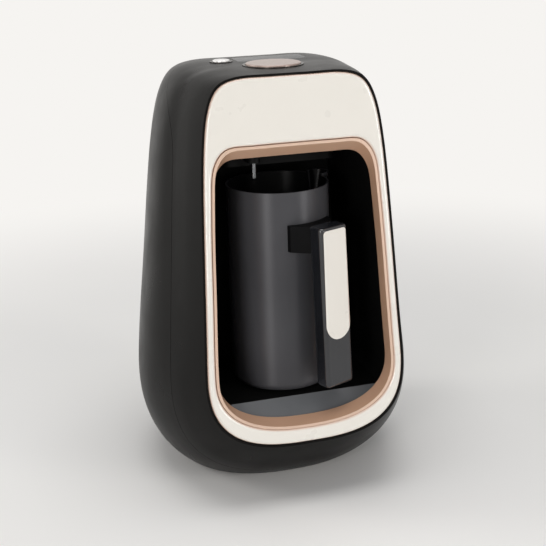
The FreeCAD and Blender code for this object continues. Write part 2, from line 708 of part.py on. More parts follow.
def make_handle():
    grip = loft([
        grip_section(GRIP_BOTTOM, GRIP_WIDTH_BOTTOM, GRIP_DEPTH_BOTTOM, GRIP_REACH_BOTTOM),
        grip_section(GRIP_TOP, GRIP_WIDTH_TOP, GRIP_DEPTH_TOP, GRIP_REACH_TOP),
    ], True)
    grip = grip.makeFillet(GRIP_END_ROUND, [e for e in grip.Edges if e.BoundBox.ZMax < GRIP_BOTTOM + 0.1])
    grip = grip.makeFillet(GRIP_TOP_ROUND, [e for e in grip.Edges if e.BoundBox.ZMin > GRIP_TOP - 0.1])

    def front_skin(depth, gap):
        behind = grip.copy()
        behind.translate(Vector(0, depth, 0))
        return grip.common(inlay_prism(gap)).cut(behind)

    inlay = front_skin(INLAY_DEPTH, 0.0)
    bare_grip = grip.cut(front_skin(INLAY_DEPTH + INLAY_GAP, INLAY_GAP))
    low = BRACKET_TOP - BRACKET_HEIGHT
    root = BRACKET_ROOT_WIDTH / 2
    tip = BRACKET_TIP_WIDTH / 2
    inside = -POT_RADIUS * 0.8
    shoulder = -POT_RADIUS + 1.5
    end = -GRIP_REACH_TOP + GRIP_DEPTH_TOP / 2
    outline = [(-root, inside), (-root, shoulder), (-tip, end + 4), (-tip, end),
               (tip, end), (tip, end + 4), (root, shoulder), (root, inside)]
    corners = [Vector(x, y, low) for x, y in outline]
    face = Part.Face(Part.makePolygon(corners + [corners[0]]))
    bracket = face.extrude(Vector(0, 0, BRACKET_HEIGHT))
    bracket = bracket.cut([cylinder(0, 0, 0, FAR, POT_RADIUS + 0.02), grip])
    screws = []
    holes = []
    for z in HANDLE_SCREW_HEIGHTS:
        front = -(GRIP_REACH_TOP + (GRIP_TOP - z) * (GRIP_REACH_BOTTOM - GRIP_REACH_TOP) / (GRIP_TOP - GRIP_BOTTOM))
        seat = front + INLAY_DEPTH + INLAY_GAP + 2.2
        back = Vector(0, 1, 0)
        shank = Part.makeCylinder(SCREW_RADIUS, -POT_RADIUS - 1.0 - seat, Vector(0, seat, z), back)
        head = Part.makeCylinder(SCREW_HEAD_RADIUS, SCREW_HEAD_HEIGHT, Vector(0, seat, z), back * -1)
        screws.append(shank.fuse(head))
        clear = Part.makeCylinder(SCREW_HEAD_RADIUS + 0.2, 20, Vector(0, seat, z), back * -1)
        holes += [clear, Part.makeCylinder(SCREW_RADIUS + 0.02, 40, Vector(0, seat - 1, z), back)]
    bare_grip = bare_grip.cut(holes)
    bracket = bracket.cut(screws)
    return at_handle(bare_grip), at_handle(inlay), at_handle(bracket), at_handle(Part.makeCompound(screws))


def make_pot_foot():
    """Heater, element, thermostat, socket, contact rings, cover and screws under the pot's floor."""
    y = POT_CENTRE
    foot = FLOOR_TOP + POT_GAP
    under = POT_FLOOR - POT_WALL
    plate_low = under - HEATER_THICKNESS
    plate = cylinder(0, y, plate_low, under, HEATER_RADIUS)
    element = Part.makeTorus(ELEMENT_RADIUS, ELEMENT_THICKNESS / 2, Vector(0, y, plate_low - ELEMENT_THICKNESS / 2), UP)
    cover_top = foot + FOOT_COVER_THICKNESS
    socket_top = plate_low - THERMOSTAT_HEIGHT
    thermostat = cylinder(0, y, socket_top, plate_low, THERMOSTAT_RADIUS)
    socket = cylinder(0, y, foot, socket_top, SOCKET_RADIUS)
    socket = socket.fuse(cylinder(0, y, cover_top, cover_top + 1.2, SOCKET_RADIUS + 1.5))
    rings = []
    for radius in CONTACT_RADII[1:2]:
        rings.append(tube(0, y, foot + CONTACT_SINK, foot + CONTACT_SINK + 1.5, radius + 1.4, radius - 1.4))
    rings.append(cylinder(0, y, foot + CONTACT_SINK, foot + CONTACT_SINK + 1.5, CONTACT_RADII[0] + 1.4))
    grooves = [tube(0, y, foot - 1, foot + CONTACT_SINK + 1.5, CONTACT_RADII[1] + 1.4, CONTACT_RADII[1] - 1.4),
               cylinder(0, y, foot - 1, foot + CONTACT_SINK + 1.5, CONTACT_RADII[0] + 1.4)]
    socket = socket.cut(grooves)
    cover = tube(0, y, foot, cover_top, FOOT_COVER_RADIUS, SOCKET_RADIUS + 0.1)
    screws = []
    for turn in (90, 210, 330):
        x = FOOT_SCREW_CIRCLE * math.cos(math.radians(turn))
        sy = y + FOOT_SCREW_CIRCLE * math.sin(math.radians(turn))
        seat = foot + 1.4
        shank = cylinder(x, sy, seat, plate_low + 2, SMALL_SCREW_RADIUS)
        head = cylinder(x, sy, seat - 1.2, seat, SMALL_HEAD_RADIUS)
        screws.append(shank.fuse(head))
        cover = cover.cut([cylinder(x, sy, 0, seat, SMALL_HEAD_RADIUS + 0.1),
                           cylinder(x, sy, 0, FAR, SMALL_SCREW_RADIUS + 0.02)])
        plate = plate.cut(cylinder(x, sy, 0, plate_low + 2, SMALL_SCREW_RADIUS + 0.01))
    return plate, element, thermostat, socket, Part.makeCompound(rings), cover, Part.makeCompound(screws)


def make_base():
    """Plate that closes the housing from below, with posts for the power board and slots for air."""
    room = body_solid(WALL + BASE_GAP, FRAME_THICKNESS + FRAME_FLANGE)
    low, top = FOOT_HEIGHT, FOOT_HEIGHT + BASE_THICKNESS
    plate = room.common(box(-FAR, FAR, -FAR, FAR, low, top))
    cx, cy = POWER_BOARD_CENTRE
    wide, deep = POWER_BOARD_SIZE
    cuts = []
    posts = []
    for sx in (-1, 1):
        for sy in (-1, 1):
            x, y = cx + sx * (wide / 2 - 4), cy + sy * (deep / 2 - 4)
            posts.append(cylinder(x, y, top - 0.5, top + POWER_BOARD_LIFT, 3.0))
            cuts.append(cylinder(x, y, top, top + POWER_BOARD_LIFT + 1, SMALL_SCREW_RADIUS))
    plate = plate.fuse(posts)
    for x, y in BOSS_PLACES:
        cuts.append(cylinder(x, y, low - 1, low + SCREW_HEAD_HEIGHT + 0.1, SCREW_HEAD_RADIUS + 0.3))
        cuts.append(cylinder(x, y, low - 1, top + 1, SCREW_RADIUS + 0.1))
    for i in range(VENT_COUNT):
        y = cy + (i - (VENT_COUNT - 1) / 2) * VENT_PITCH
        cuts.append(rounded_box(-VENT_LENGTH / 2, VENT_LENGTH / 2, y - VENT_WIDTH / 2, y + VENT_WIDTH / 2,
                                low - 1, top + 1, VENT_WIDTH * 0.45))
    return plate.cut(cuts)


def make_bosses(outer):
    """Screw bosses for the base plate, each with a rib to the side of the housing."""
    low = FOOT_HEIGHT + BASE_THICKNESS + BASE_GAP
    pieces = []
    for x, y in BOSS_PLACES:
        reach = BODY_HALF_WIDTH if x > 0 else -BODY_HALF_WIDTH
        rib = box(min(x, reach), max(x, reach), y - RIB_THICKNESS / 2, y + RIB_THICKNESS / 2, low, low + BOSS_HEIGHT)
        pieces.append(rib.common(outer))
        pieces.append(cylinder(x, y, low, low + BOSS_HEIGHT, BOSS_RADIUS))
    holes = [cylinder(x, y, low - 1, low + SCREW_LENGTH, SCREW_RADIUS) for x, y in BOSS_PLACES]
    return pieces, holes


def make_power_board():
    top = FOOT_HEIGHT + BASE_THICKNESS
    low = top + POWER_BOARD_LIFT
    cx, cy = POWER_BOARD_CENTRE
    wide, deep = POWER_BOARD_SIZE
    board = box(cx - wide / 2, cx + wide / 2, cy - deep / 2, cy + deep / 2, low, low + BOARD_THICKNESS)
    face = low + BOARD_THICKNESS
    relay = box(cx - 18, cx - 2, cy - 14, cy + 6, face, face + 15)
    supply = box(cx + 2, cx + 18, cy - 20, cy - 2, face, face + 12)
    capacitor = cylinder(cx + 9, cy + 8, face, face + 14, 5)
    terminal = box(cx - 15, cx + 12, cy + 16, cy + 26, face, face + 9)
    board = board.fuse([relay, supply, capacitor, terminal])
    screws = []
    for sx in (-1, 1):
        for sy in (-1, 1):
            x, y = cx + sx * (wide / 2 - 4), cy + sy * (deep / 2 - 4)
            shank = cylinder(x, y, face - 6, face, SMALL_SCREW_RADIUS)
            screws.append(shank.fuse(cylinder(x, y, face, face + 1.2, SMALL_HEAD_RADIUS)))
    return board.cut(screws), Part.makeCompound(screws)


def make_gland():
    back = BODY_DEPTH
    axis = Vector(0, 1, 0)

    def disc(radius, y0, y1):
        return Part.makeCylinder(radius, y1 - y0, Vector(0, y0, GLAND_HEIGHT), axis)

    gland = disc(GLAND_RADIUS, back + GLAND_LIP - GLAND_LENGTH, back + GLAND_LIP)
    gland = gland.fuse([disc(GLAND_FLANGE, back, back + GLAND_LIP),
                        disc(GLAND_FLANGE - 0.8, back - WALL - 2.0, back - WALL - 0.15)])
    gland = gland.cut(disc(GLAND_BORE, back - 40, back + 10))
    return gland, disc(GLAND_RADIUS + 0.05, back - 20, back + 10)


def make_front(front, outer, holes, pocket):
    """Front shell with its button holes, the strip's pocket and the bosses that hold the carrier."""
    bosses = []
    for x, y in ROOF_BOSSES:
        bosses.append(cylinder(x, y, CARRIER_TOP + 0.05, FAR, BOSS_RADIUS).common(outer))
    drill = [cylinder(x, y, 0, CARRIER_TOP + 8, SCREW_RADIUS) for x, y in ROOF_BOSSES]
    return front.fuse(bosses).cut(holes + drill + [pocket])


def main():
    os.makedirs("parts", exist_ok=True)
    outer, inner, front, rear = make_housing()
    holes = [
        make_button(outer, MAIN_BUTTON_CENTRE, MAIN_BUTTON_RADIUS, "main_button"),
        make_button(outer, SMALL_BUTTON_CENTRE, SMALL_BUTTON_RADIUS, "small_button"),
    ]
    strip, pocket = make_strip(outer)
    keep("control_strip", strip)
    keep("front_shell", make_front(front, outer, holes, pocket))
    boss_pieces, boss_holes = make_bosses(outer)
    gland, gland_hole = make_gland()
    keep("rear_shell", rear.fuse(boss_pieces).cut(boss_holes + [gland_hole]))
    keep("cord_gland", gland)
    keep("front_frame", make_front_frame())
    keep("opening_bezel", make_bezel())
    keep("cavity_liner", make_liner())
    keep("pot_platform", make_platform())
    keep("front_sill", make_sill())
    keep("button_carrier", make_carrier(inner))
    board, switches, buzzer = make_control_board()
    keep("control_board", board)
    keep("tact_switches", switches)
    keep("buzzer", buzzer)
    low = CARRIER_TOP - CARRIER_THICKNESS
    keep("carrier_screws", Part.makeCompound([screw(x, y, low, 9, False) for x, y in ROOF_BOSSES]))
    under = low - BOARD_DROP - BOARD_THICKNESS
    small = [cylinder(x, y, under, under + 6, SMALL_SCREW_RADIUS).fuse(
        cylinder(x, y, under - 1.2, under, SMALL_HEAD_RADIUS)) for x, y in BOARD_POSTS]
    keep("control_board_screws", Part.makeCompound(small))
    head, probe, seal = make_sensor()
    keep("sensor_head", head)
    keep("foam_probe", probe)
    keep("probe_seal", seal)
    dock, pins = make_dock()
    keep("base_connector", dock)
    keep("connector_pins", pins)
    keep("base_plate", make_base())
    seat = FOOT_HEIGHT + SCREW_HEAD_HEIGHT + 0.1
    keep("base_screws", Part.makeCompound([screw(x, y, seat, SCREW_LENGTH, False) for x, y in BOSS_PLACES]))
    keep("rubber_feet", Part.makeCompound([cylinder(x, y, 0, FOOT_HEIGHT, FOOT_RADIUS) for x, y in FOOT_PLACES]))
    power, power_screws = make_power_board()
    keep("power_board", power)
    keep("power_board_screws", power_screws)
    keep("pot_wall", make_pot())
    plate, element, thermostat, socket, rings, cover, cover_screws = make_pot_foot()
    keep("heating_plate", plate)
    keep("heating_element", element)
    keep("pot_thermostat", thermostat)
    keep("pot_socket", socket)
    keep("socket_contacts", rings)
    keep("pot_foot_cover", cover)
    keep("foot_cover_screws", cover_screws)
    grip, inlay, bracket, handle_screws = make_handle()
    keep("handle_grip", grip)
    keep("handle_inlay", inlay)
    keep("handle_bracket", bracket)
    keep("handle_screws", handle_screws)
    front_limit = min(nodes[name].optimalBoundingBox(False).YMin for name in ("handle_grip", "front_frame"))
    middle = (front_limit + BODY_DEPTH + GLAND_LIP) / 2
    print("middle of the depth", round(middle, 3))
    for name, shape in nodes.items():
        shape.translate(Vector(0, -middle, 0))
        limits = shape.BoundBox
        print(name, shape.ShapeType, len(shape.Solids), shape.isValid(), round(shape.Volume),
              [round(v, 1) for v in (limits.XMin, limits.XMax, limits.YMin, limits.YMax, limits.ZMin, limits.ZMax)])
        shape.exportStep("parts/" + name + ".step")


main()
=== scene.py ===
import bmesh
import bpy
import math
from mathutils import Matrix, Vector


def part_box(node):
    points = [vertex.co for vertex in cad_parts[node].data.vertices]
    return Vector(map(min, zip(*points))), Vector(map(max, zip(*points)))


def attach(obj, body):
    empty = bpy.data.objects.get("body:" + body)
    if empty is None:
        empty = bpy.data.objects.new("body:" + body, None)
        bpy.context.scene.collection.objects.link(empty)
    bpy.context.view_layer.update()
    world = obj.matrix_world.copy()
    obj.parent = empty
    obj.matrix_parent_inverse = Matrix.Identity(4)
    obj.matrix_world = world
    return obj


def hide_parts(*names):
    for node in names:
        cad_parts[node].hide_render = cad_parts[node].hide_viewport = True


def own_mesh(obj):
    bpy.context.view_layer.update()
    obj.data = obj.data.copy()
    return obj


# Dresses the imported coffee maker: its materials, light, floor and the camera of the photograph.
# Metres, in the frame of the solids: X right, Y back, Z up from the table.

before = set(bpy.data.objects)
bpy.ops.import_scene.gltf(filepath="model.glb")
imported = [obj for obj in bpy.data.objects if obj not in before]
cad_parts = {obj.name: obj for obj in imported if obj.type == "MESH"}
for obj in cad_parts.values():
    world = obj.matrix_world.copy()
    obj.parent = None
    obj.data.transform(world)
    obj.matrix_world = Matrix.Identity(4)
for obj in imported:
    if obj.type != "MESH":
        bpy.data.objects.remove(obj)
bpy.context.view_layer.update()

MM = 0.001

# Camera of the photograph, from the outlines of the front frame, the opening, the pot and the housing
CAMERA_AZIMUTH = -16.0
CAMERA_ELEVATION = 17.7
CAMERA_ROLL = 1.79
CAMERA_DISTANCE = 707.5 * MM
CAMERA_TARGET = Vector((1.65, -13.93, 124.0)) * MM
SENSOR_WIDTH = 36.0
PICTURE_SIDE = 546
FOCAL_PIXELS = 1099.5

# Shading of the solids: edges sharper than this stay crisp
CREASE_ANGLE = 30

# Slow noise in the finishes: the part of its range that is spread over two values, and its finer steps
NOISE_LOW = 0.3
NOISE_HIGH = 0.7
CLOUD_DETAIL = 3.0

# Pot: its upright axis, how clearly an inner face looks towards it (for the painted shade inside),
# and the brushing, whose lines are drawn out sideways to fifty times their height
POT_AXIS = Vector((0.0, -34.5, 0.0)) * MM
INWARD_MARGIN = 1.0 * MM
BRUSHING_STRETCH = 0.02

# Button springs
SPRING_WIRE = 0.35 * MM
SPRING_TURNS = 5.5
END_TURNS = 1.0
STEPS_PER_TURN = 36
WIRE_SIDES = 10

# Floor, which fades into the backdrop between two distances in metres
FLOOR_RADIUS = 3.0
FLOOR_SIDES = 96
FADE_START = 0.22
FADE_END = 0.75
BACKGROUND = "F6F4F1"

# Light: ambience, then each softbox with its place, aim and size in metres, its power and its colour
AMBIENT = "DCDFE4"
AMBIENT_STRENGTH = 0.4
SOFTBOXES = {
    "window": ((-0.82, -1.01, 0.3), (0, 0, 0.12), (0.3, 0.6), 6.5, "FFFDFB"),
    "side_window": ((-1.3, 0.5, 0.7), (0, 0, 0.14), (0.4, 0.6), 5.0, "FFFDFB"),
    "right_panel": ((0.87, -0.97, 0.3), (0, 0, 0.13), (0.3, 0.6), 5.5, "FFFDFB"),
    "top": ((0.0, -0.1, 1.4), (0, 0, 0.1), (1.0, 0.8), 8.0, "FFFFFF"),
}


def linear(code):
    """Linear RGBA of an sRGB hex colour."""
    channels = []
    for i in (0, 2, 4):
        value = int(code[i:i + 2], 16) / 255
        channels.append(value / 12.92 if value <= 0.04045 else ((value + 0.055) / 1.055) ** 2.4)
    return (*channels, 1.0)


def link(name, data):
    """An object that shows some data, in the scene."""
    made = bpy.data.objects.new(name, data)
    bpy.context.scene.collection.objects.link(made)
    return made


def add(tree, kind, settings=None, links=None):
    """Adds a node: settings fill its inputs or its own properties, links feed its inputs."""
    node = tree.nodes.new(kind)
    for name, value in (settings or {}).items():
        if isinstance(name, int) or name in node.inputs:
            node.inputs[name].default_value = value
        else:
            setattr(node, name, value)
    for name, source in (links or {}).items():
        tree.links.new(source, node.inputs[name])
    return node


def pattern_scale(size_mm):
    """Scale of a texture whose features measure a size in millimetres."""
    return 1000.0 / size_mm


def material(name, **sockets):
    """A material with its Principled shader, given the shader's constant sockets."""
    made = bpy.data.materials.new(name)
    made.use_nodes = True
    tree = made.node_tree
    shader = tree.nodes["Principled BSDF"]
    for socket, value in sockets.items():
        shader.inputs[socket.replace("_", " ")].default_value = value
    place = add(tree, "ShaderNodeTexCoord").outputs["Object"]
    return made, tree, shader, place


def cloudiness(tree, place, size_mm, low, high):
    """Slow noise between two values, for a finish that isn't quite even."""
    clouds = add(tree, "ShaderNodeTexNoise", {"Scale": pattern_scale(size_mm), "Detail": CLOUD_DETAIL},
                 {"Vector": place})
    spread = add(tree, "ShaderNodeMapRange",
                 {"From Min": NOISE_LOW, "From Max": NOISE_HIGH, "To Min": low, "To Max": high},
                 {"Value": clouds.outputs["Fac"]})
    return spread.outputs["Result"]


def roughen(tree, shader, value):
    """Feeds the shader's roughness."""
    tree.links.new(value, shader.inputs["Roughness"])


def tint(tree, shader, factor, first, second):
    """Base colour between two hex colours."""
    mix = add(tree, "ShaderNodeMix", {"data_type": "RGBA", 6: linear(first), 7: linear(second)},
              {0: factor})
    tree.links.new(mix.outputs[2], shader.inputs["Base Color"])
    return mix.outputs[2]


def relief(tree, shader, height, depth_mm):
    """Bump of a height pattern on a shader."""
    bump = add(tree, "ShaderNodeBump", {"Distance": depth_mm * MM, "Strength": 1.0}, {"Height": height})
    tree.links.new(bump.outputs["Normal"], shader.inputs["Normal"])


def skin(tree, shader, place, size_mm, detail, depth_mm):
    """Uneven skin of a finish: waves of a real size and depth, with some finer steps of detail in them."""
    waves = add(tree, "ShaderNodeTexNoise", {"Scale": pattern_scale(size_mm), "Detail": detail},
                {"Vector": place})
    relief(tree, shader, waves.outputs["Fac"], depth_mm)


def painted_light_by_facing(tree, start, end):
    """Zero on faces that look to the front, one on those that turn away from it: the mask for light and
    shade painted by which way a face looks.
    """
    normal = add(tree, "ShaderNodeNewGeometry").outputs["Normal"]
    facing = add(tree, "ShaderNodeSeparateXYZ", None, {0: normal})
    edge = add(tree, "ShaderNodeMapRange",
               {"interpolation_type": "SMOOTHSTEP", "From Min": -start, "From Max": -end},
               {"Value": facing.outputs["Y"]})
    return edge.outputs["Result"]


def satin_black_abs():
    """Injection moulded ABS, satin mould: deep black, soft highlights, a fine skin and faint smudges."""
    made, tree, shader, place = material("satin_black_abs", IOR=1.5, Specular_IOR_Level=0.06)
    tint(tree, shader, cloudiness(tree, place, 70, 0.0, 1.0), "0D0C0B", "121110")
    roughen(tree, shader, cloudiness(tree, place, 24, 0.27, 0.36))
    skin(tree, shader, place, 1.1, 3.0, 0.01)
    return made


def lacquered_cream():
    """ABS under cream pearl lacquer and a clear coat: bright and smooth; its champagne tint where it turns
    away is painted shade and warm reflection.
    """
    made, tree, shader, place = material("lacquered_cream_abs", IOR=1.5, Coat_Weight=0.6,
                                         Coat_Roughness=0.08)
    # Painted shade and warm reflection: faces that turn away from the front are tinted champagne.
    tint(tree, shader, painted_light_by_facing(tree, 0.96, 0.5), "DCD8D0", "CBAE9C")
    roughen(tree, shader, cloudiness(tree, place, 14, 0.26, 0.34))
    skin(tree, shader, place, 4.0, 1.0, 0.002)
    return made


def champagne_trim():
    """Moulded trim under a champagne copper lacquer, satin; paler in front as a painted highlight and warmer
    inside the opening as painted shade.
    """
    made, tree, shader, place = material("champagne_copper_lacquer", Metallic=0.25, Coat_Weight=0.3,
                                         Coat_Roughness=0.15)
    # Painted light: the trim is paler where it faces the front and warmer where it turns into the opening.
    tint(tree, shader, painted_light_by_facing(tree, 0.9, 0.5), "CDB19D", "CBA286")
    roughen(tree, shader, cloudiness(tree, place, 9, 0.32, 0.4))
    skin(tree, shader, place, 6.0, 1.0, 0.003)
    return made


def textured_moulding(name, dark, light, roughness, grain_mm=0.9, depth_mm=0.03, shine=0.5):
    """Polypropylene from a spark eroded mould: an even fine grain that scatters the light."""
    made, tree, shader, place = material(name, IOR=1.49, Specular_IOR_Level=shine)
    tint(tree, shader, cloudiness(tree, place, 30, 0.0, 1.0), dark, light)
    roughen(tree, shader, cloudiness(tree, place, 12, roughness - 0.05, roughness + 0.05))
    grain = add(tree, "ShaderNodeTexNoise",
                {"Scale": pattern_scale(grain_mm), "Detail": 4.0, "Roughness": 0.6}, {"Vector": place})
    relief(tree, shader, grain.outputs["Fac"], depth_mm)
    return made


def pot_inner_shade_mask(tree, place):
    """One on the faces that look towards the pot's axis, zero on those that look outward: the mask of the
    painted shade inside the pot.
    """
    arm = add(tree, "ShaderNodeVectorMath", {"operation": "SUBTRACT", 1: POT_AXIS}, {0: place})
    level = add(tree, "ShaderNodeVectorMath", {"operation": "MULTIPLY", 1: (1.0, 1.0, 0.0)},
                {0: arm.outputs["Vector"]})
    normal = add(tree, "ShaderNodeNewGeometry").outputs["Normal"]
    outward = add(tree, "ShaderNodeVectorMath", {"operation": "DOT_PRODUCT"},
                  {0: level.outputs["Vector"], 1: normal})
    inward = add(tree, "ShaderNodeMath", {"operation": "LESS_THAN", 1: -INWARD_MARGIN},
                 {0: outward.outputs["Value"]})
    return inward.outputs["Value"]


def coated_dark_steel():
    """Drawn steel, brushed round and coated dark: satin, with long soft upright highlights; near black
    inside as painted shade.
    """
    made, tree, shader, place = material("coated_dark_steel", Metallic=0.15, Anisotropic=0.8,
                                         Anisotropic_Rotation=0.25, Specular_IOR_Level=0.2)
    outside = tint(tree, shader, cloudiness(tree, place, 50, 0.0, 1.0), "414144", "48484B")
    # Painted shade: faces inside the pot are mixed to near black.
    coat = add(tree, "ShaderNodeMix", {"data_type": "RGBA", 7: linear("0C0C0D")},
               {0: pot_inner_shade_mask(tree, place), 6: outside})
    tree.links.new(coat.outputs[2], shader.inputs["Base Color"])
    # The real brushing is finer than a pixel, so its lines are drawn about 1 mm apart
    stretched = add(tree, "ShaderNodeMapping", {"Scale": (BRUSHING_STRETCH, BRUSHING_STRETCH, 1.0)},
                    {"Vector": place})
    roughen(tree, shader, cloudiness(tree, stretched.outputs["Vector"], 1.0, 0.36, 0.41))
    skin(tree, shader, stretched.outputs["Vector"], 1.0, CLOUD_DETAIL, 0.002)
    return made


def polished_phenolic():
    """Compression moulded phenolic, buffed: glassy black with sharp highlights and fine haze."""
    made, tree, shader, place = material("buffed_black_phenolic", IOR=1.6)
    tint(tree, shader, cloudiness(tree, place, 25, 0.0, 1.0), "191A1D", "202125")
    roughen(tree, shader, cloudiness(tree, place, 10, 0.12, 0.2))
    skin(tree, shader, place, 2.0, 2.0, 0.006)
    return made


def pearl_lacquer(name, dark, light):
    """Button cap under a pearl lacquer: fine mica flakes that glitter a little in a smooth coat."""
    made, tree, shader, place = material(name, Metallic=0.3, Coat_Weight=0.15, Coat_Roughness=0.1)
    # Real flakes are far smaller: 0.5 mm is the finest that shows
    flakes = add(tree, "ShaderNodeTexVoronoi", {"Scale": pattern_scale(0.5)}, {"Vector": place})
    grey = add(tree, "ShaderNodeSeparateColor", None, {"Color": flakes.outputs["Color"]})
    tint(tree, shader, grey.outputs["Red"], dark, light)
    glitter = add(tree, "ShaderNodeMapRange", {"To Min": 0.28, "To Max": 0.38},
                  {"Value": grey.outputs["Green"]})
    roughen(tree, shader, glitter.outputs["Result"])
    skin(tree, shader, place, 3.0, 1.0, 0.002)
    return made


def metal(name, dark, light, roughness, size_mm=6.0, scratch_mm=0.3):
    """Bare or plated metal: slight clouding of its shine and fine scratches."""
    made, tree, shader, place = material(name, Metallic=1.0)
    tint(tree, shader, cloudiness(tree, place, size_mm, 0.0, 1.0), dark, light)
    roughen(tree, shader, cloudiness(tree, place, size_mm / 3, roughness - 0.06, roughness + 0.08))
    skin(tree, shader, place, scratch_mm, 5.0, 0.004)
    return made


def acrylic_panel():
    """Clear topped panel: a hard acrylic window over black print, glossy with a faint haze."""
    made, tree, shader, place = material("black_acrylic_panel", IOR=1.49, Specular_IOR_Level=0.1)
    tint(tree, shader, cloudiness(tree, place, 15, 0.0, 1.0), "17191D", "1F2126")
    roughen(tree, shader, cloudiness(tree, place, 8, 0.2, 0.27))
    return made


def moulded_rubber(name, dark, light):
    """Moulded rubber: dull, with a powdery bloom and a fine pebbled skin."""
    made, tree, shader, place = material(name, IOR=1.52, Sheen_Weight=0.2, Sheen_Roughness=0.6)
    tint(tree, shader, cloudiness(tree, place, 5, 0.0, 1.0), dark, light)
    roughen(tree, shader, cloudiness(tree, place, 3, 0.7, 0.85))
    pebbles = add(tree, "ShaderNodeTexVoronoi", {"Scale": pattern_scale(0.7)}, {"Vector": place})
    relief(tree, shader, pebbles.outputs["Distance"], 0.03)
    return made


def circuit_board():
    """Glass epoxy board under green solder resist, with the tracks showing as slightly lighter lines."""
    made, tree, shader, place = material("green_circuit_board", IOR=1.5, Coat_Weight=0.4,
                                         Coat_Roughness=0.2)
    black, white = (0, 0, 0, 1), (1, 1, 1, 1)
    tracks = add(tree, "ShaderNodeTexBrick",
                 {"Scale": pattern_scale(8.0), "Mortar Size": 0.06, "Color1": black, "Color2": black,
                  "Mortar": white}, {"Vector": place})
    tint(tree, shader, tracks.outputs["Fac"], "174B32", "2C7A53")
    roughen(tree, shader, cloudiness(tree, place, 4, 0.3, 0.45))
    relief(tree, shader, tracks.outputs["Fac"], 0.02)
    return made


def smooth(data):
    """Smooth shading all over a mesh."""
    for face in data.polygons:
        face.use_smooth = True


def dress(names, finish):
    """Gives CAD nodes a material and smooth shading that breaks at their real edges."""
    for name in names:
        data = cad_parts[name].data
        data.materials.clear()
        data.materials.append(finish)
        smooth(data)
        data.set_sharp_from_angle(angle=math.radians(CREASE_ANGLE))


def coil_height(turns, rise):
    """Height of a spring's wire after some turns: its end turns lie closed, the others are even."""
    closed = 2 * SPRING_WIRE * END_TURNS
    if turns < END_TURNS:
        return closed * turns / END_TURNS
    if turns > SPRING_TURNS - END_TURNS:
        return rise - closed * (SPRING_TURNS - turns) / END_TURNS
    share = (turns - END_TURNS) / (SPRING_TURNS - 2 * END_TURNS)
    return closed + (rise - 2 * closed) * share


def coil_spring(name, finish):
    """Compression spring under a cap, with closed end turns, built in place of the CAD spring."""
    node = name + "_spring"
    low, high = (Vector(corner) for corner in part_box(node))
    centre = (low + high) / 2
    radius = (high.x - low.x) / 2 - SPRING_WIRE
    rise = high.z - low.z - 2 * SPRING_WIRE
    mesh = bmesh.new()
    rings = []
    for i in range(round(SPRING_TURNS * STEPS_PER_TURN) + 1):
        turns = i / STEPS_PER_TURN
        out = Vector((math.cos(2 * math.pi * turns), math.sin(2 * math.pi * turns), 0.0))
        level = low.z + SPRING_WIRE + coil_height(turns, rise)
        middle = Vector((centre.x, centre.y, level)) + out * radius
        ring = []
        for k in range(WIRE_SIDES):
            angle = 2 * math.pi * k / WIRE_SIDES
            offset = out * math.cos(angle) + Vector((0.0, 0.0, math.sin(angle)))
            ring.append(mesh.verts.new(middle + offset * SPRING_WIRE))
        rings.append(ring)
    for first, second in zip(rings, rings[1:]):
        for k in range(WIRE_SIDES):
            mesh.faces.new((first[k], first[k - 1], second[k - 1], second[k]))
    mesh.faces.new(rings[0])
    mesh.faces.new(reversed(rings[-1]))
    bmesh.ops.recalc_face_normals(mesh, faces=mesh.faces)
    data = bpy.data.meshes.new(name + "_coil")
    mesh.to_mesh(data)
    mesh.free()
    data.materials.append(finish)
    smooth(data)
    coil = link(name + "_coil", data)
    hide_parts(node)
    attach(coil, "housing")
    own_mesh(coil)


